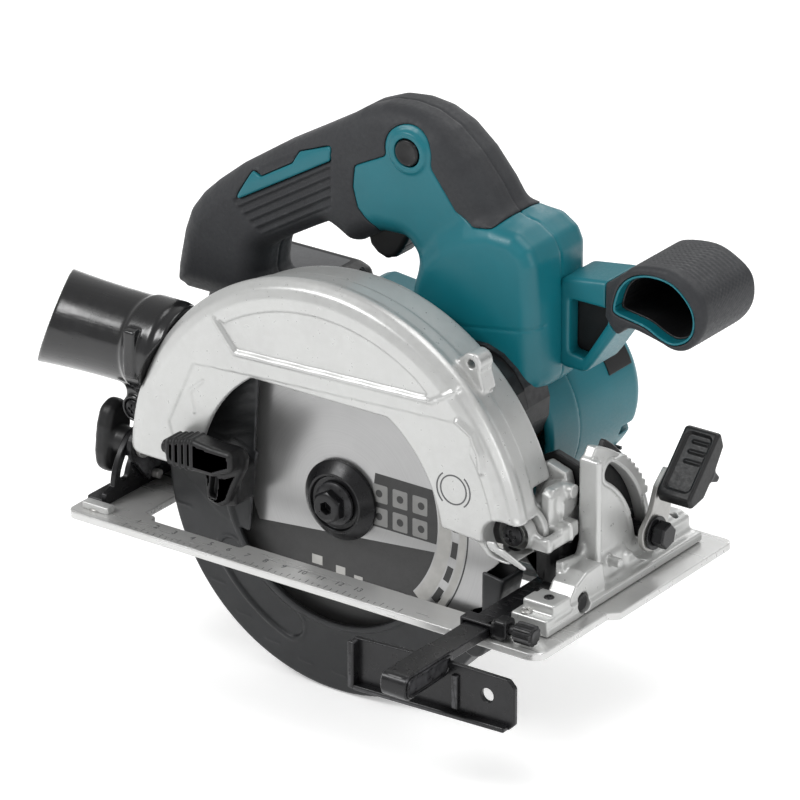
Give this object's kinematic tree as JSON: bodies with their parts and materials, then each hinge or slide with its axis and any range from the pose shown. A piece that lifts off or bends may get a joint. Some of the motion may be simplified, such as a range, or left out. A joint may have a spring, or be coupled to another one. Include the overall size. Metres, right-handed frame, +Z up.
{
  "type": "cordless circular saw",
  "caption": "Cordless circular saw with swinging lower guard, tilting base, depth guide, front grip, dust outlet, sliding battery and rip fence.",
  "frame": {"origin": "sole of the base plate, straight below the blade arbor, at mid-width of the base", "axes": "+X is the cutting direction, +Y points to the motor side, +Z is up from the sole"},
  "size_m": [0.2995, 0.211, 0.251],
  "materials": {
    "sole_aluminium": "polished sheet",
    "silver_casting": "satin silver paint on cast magnesium",
    "blade_steel": "brushed, with a dark printed band",
    "steel": "plain machined",
    "black_steel": "black oxide",
    "guard_black": "dark satin paint",
    "teal_plastic": "moulded, fine grain",
    "black_plastic": "moulded, fine grain",
    "gloss_black": "smooth moulded",
    "grip_rubber": "soft grip",
    "copper": "lacquered winding over steel",
    "board_green": "circuit board",
    "lens": "clear"
  },
  "bodies": {
    "base": {"base_plate": "sole_aluminium", "front_quadrant": "silver_casting", "rear_quadrant": "black_steel", "front_bevel_pin": "steel", "rear_bevel_pin": "steel", "rip_guide_clamp": "silver_casting"},
    "rip_guide": {"rip_guide": "black_steel"},
    "rip_clamp_screw": {"rip_clamp_screw": "black_plastic"},
    "tilt_frame": {"front_tilt_bracket": "silver_casting", "rear_tilt_bracket": "black_steel", "depth_guide": "black_steel", "depth_pivot_screw": "black_steel", "bevel_bolt": "black_steel", "rear_clamp_bolt": "steel"},
    "bevel_lever": {"bevel_lever_plate": "steel", "bevel_lever_grip": "black_plastic"},
    "rear_clamp_lever": {"rear_clamp_lever": "black_plastic"},
    "saw": {"blade_case": "silver_casting", "dust_nozzle": "gloss_black", "nozzle_screw": "steel", "guard_spring": "steel", "gear_housing": "black_plastic", "spindle_bearing_outer": "steel", "spindle_bearing_inner": "steel", "motor_housing": "teal_plastic", "stator": "copper", "rotor_bearing_gear": "steel", "rotor_bearing_end": "steel", "handle_right": "teal_plastic", "handle_left": "teal_plastic", "grip_rubber_right": "grip_rubber", "grip_rubber_left": "grip_rubber", "trigger_pin": "steel", "switch_unit": "black_plastic", "front_knob": "teal_plastic", "knob_rubber": "grip_rubber", "battery_bay": "teal_plastic", "terminal_block": "black_plastic", "controller_board": "board_green", "depth_clamp_bolt": "steel", "lamp": "lens"},
    "lower_guard": {"lower_guard": "guard_black", "guard_lever": "black_plastic"},
    "spindle": {"spindle": "steel", "drive_gear": "steel", "inner_flange": "black_steel", "blade": "blade_steel", "outer_flange": "black_steel", "blade_bolt": "black_steel"},
    "rotor": {"rotor_shaft": "steel", "rotor": "black_steel", "fan": "black_plastic", "pinion": "steel"},
    "trigger": {"trigger": "black_plastic"},
    "lock_off_button": {"lock_off_button": "black_plastic"},
    "shaft_lock_button": {"shaft_lock_button": "black_plastic"},
    "depth_lever": {"depth_lever": "black_plastic"},
    "battery": {"battery_case": "black_plastic"},
    "battery_release_button": {"battery_release_button": "grip_rubber"}
  },
  "joints": [
    {"name": "bevel", "type": "hinge", "parent": "base", "child": "tilt_frame", "pos_m": [0, -0.027, 0.009], "axis": [1, 0, 0], "range_deg": [0, 45]},
    {"name": "cutting_depth", "type": "hinge", "parent": "tilt_frame", "child": "saw", "pos_m": [0.092, 0, 0.0365], "axis": [0, 1, 0], "range_deg": [0, 37]},
    {"name": "guard_swing", "type": "hinge", "parent": "saw", "child": "lower_guard", "pos_m": [0, 0, 0.0255], "axis": [0, 1, 0], "range_deg": [0, 120], "stiffness_Nm_per_rad": 0.12, "springref_deg": -171.89},
    {"name": "blade_spin", "type": "hinge", "parent": "saw", "child": "spindle", "pos_m": [0, 0, 0.0255], "axis": [0, 1, 0], "continuous": true},
    {"name": "motor_spin", "type": "hinge", "parent": "saw", "child": "rotor", "pos_m": [0.01586, 0, 0.03978], "axis": [0, 1, 0], "continuous": true},
    {"name": "trigger_pull", "type": "hinge", "parent": "saw", "child": "trigger", "pos_m": [0.006, 0.02, 0.1363], "axis": [0, 1, 0], "range_deg": [0, 9], "stiffness_Nm_per_rad": 0.8, "springref_deg": -5.73},
    {"name": "lock_off_press", "type": "slide", "parent": "saw", "child": "lock_off_button", "axis": [0, 1, 0], "range_m": [-0.0025, 0.0025], "stiffness_N_per_m": 1500},
    {"name": "shaft_lock_press", "type": "slide", "parent": "saw", "child": "shaft_lock_button", "axis": [0.6157, 0, -0.788], "range_m": [0, 0.0023], "stiffness_N_per_m": 1500, "springref_m": -0.001},
    {"name": "depth_lever_turn", "type": "hinge", "parent": "saw", "child": "depth_lever", "pos_m": [-0.02983, 0, 0.04288], "axis": [0, 1, 0], "range_deg": [0, 40]},
    {"name": "battery_slide", "type": "slide", "parent": "saw", "child": "battery", "axis": [-1, 0, 0], "range_m": [0, 0.08]},
    {"name": "battery_release_press", "type": "slide", "parent": "battery", "child": "battery_release_button", "axis": [0, 0, 1], "range_m": [0, 0.0035], "stiffness_N_per_m": 1000, "springref_m": -0.001},
    {"name": "bevel_lever_turn", "type": "hinge", "parent": "tilt_frame", "child": "bevel_lever", "pos_m": [0.118, 0.0268, 0.02043], "axis": [1, 0, 0], "range_deg": [-30, 45]},
    {"name": "rear_clamp_turn", "type": "hinge", "parent": "tilt_frame", "child": "rear_clamp_lever", "pos_m": [-0.115, -0.03592, 0.02509], "axis": [1, 0, 0], "range_deg": [-40, 40]},
    {"name": "rip_guide_slide", "type": "slide", "parent": "base", "child": "rip_guide", "axis": [0, -1, 0], "range_m": [-0.02, 0.08]},
    {"name": "rip_clamp_turn", "type": "hinge", "parent": "base", "child": "rip_clamp_screw", "pos_m": [0.11, -0.06475, 0.009], "axis": [1, 0, 0], "range_deg": [0, 360]}
  ],
  "couplings": [
    {"joint": "motor_spin", "follows": "blade_spin", "ratio": -4.75}
  ]
}
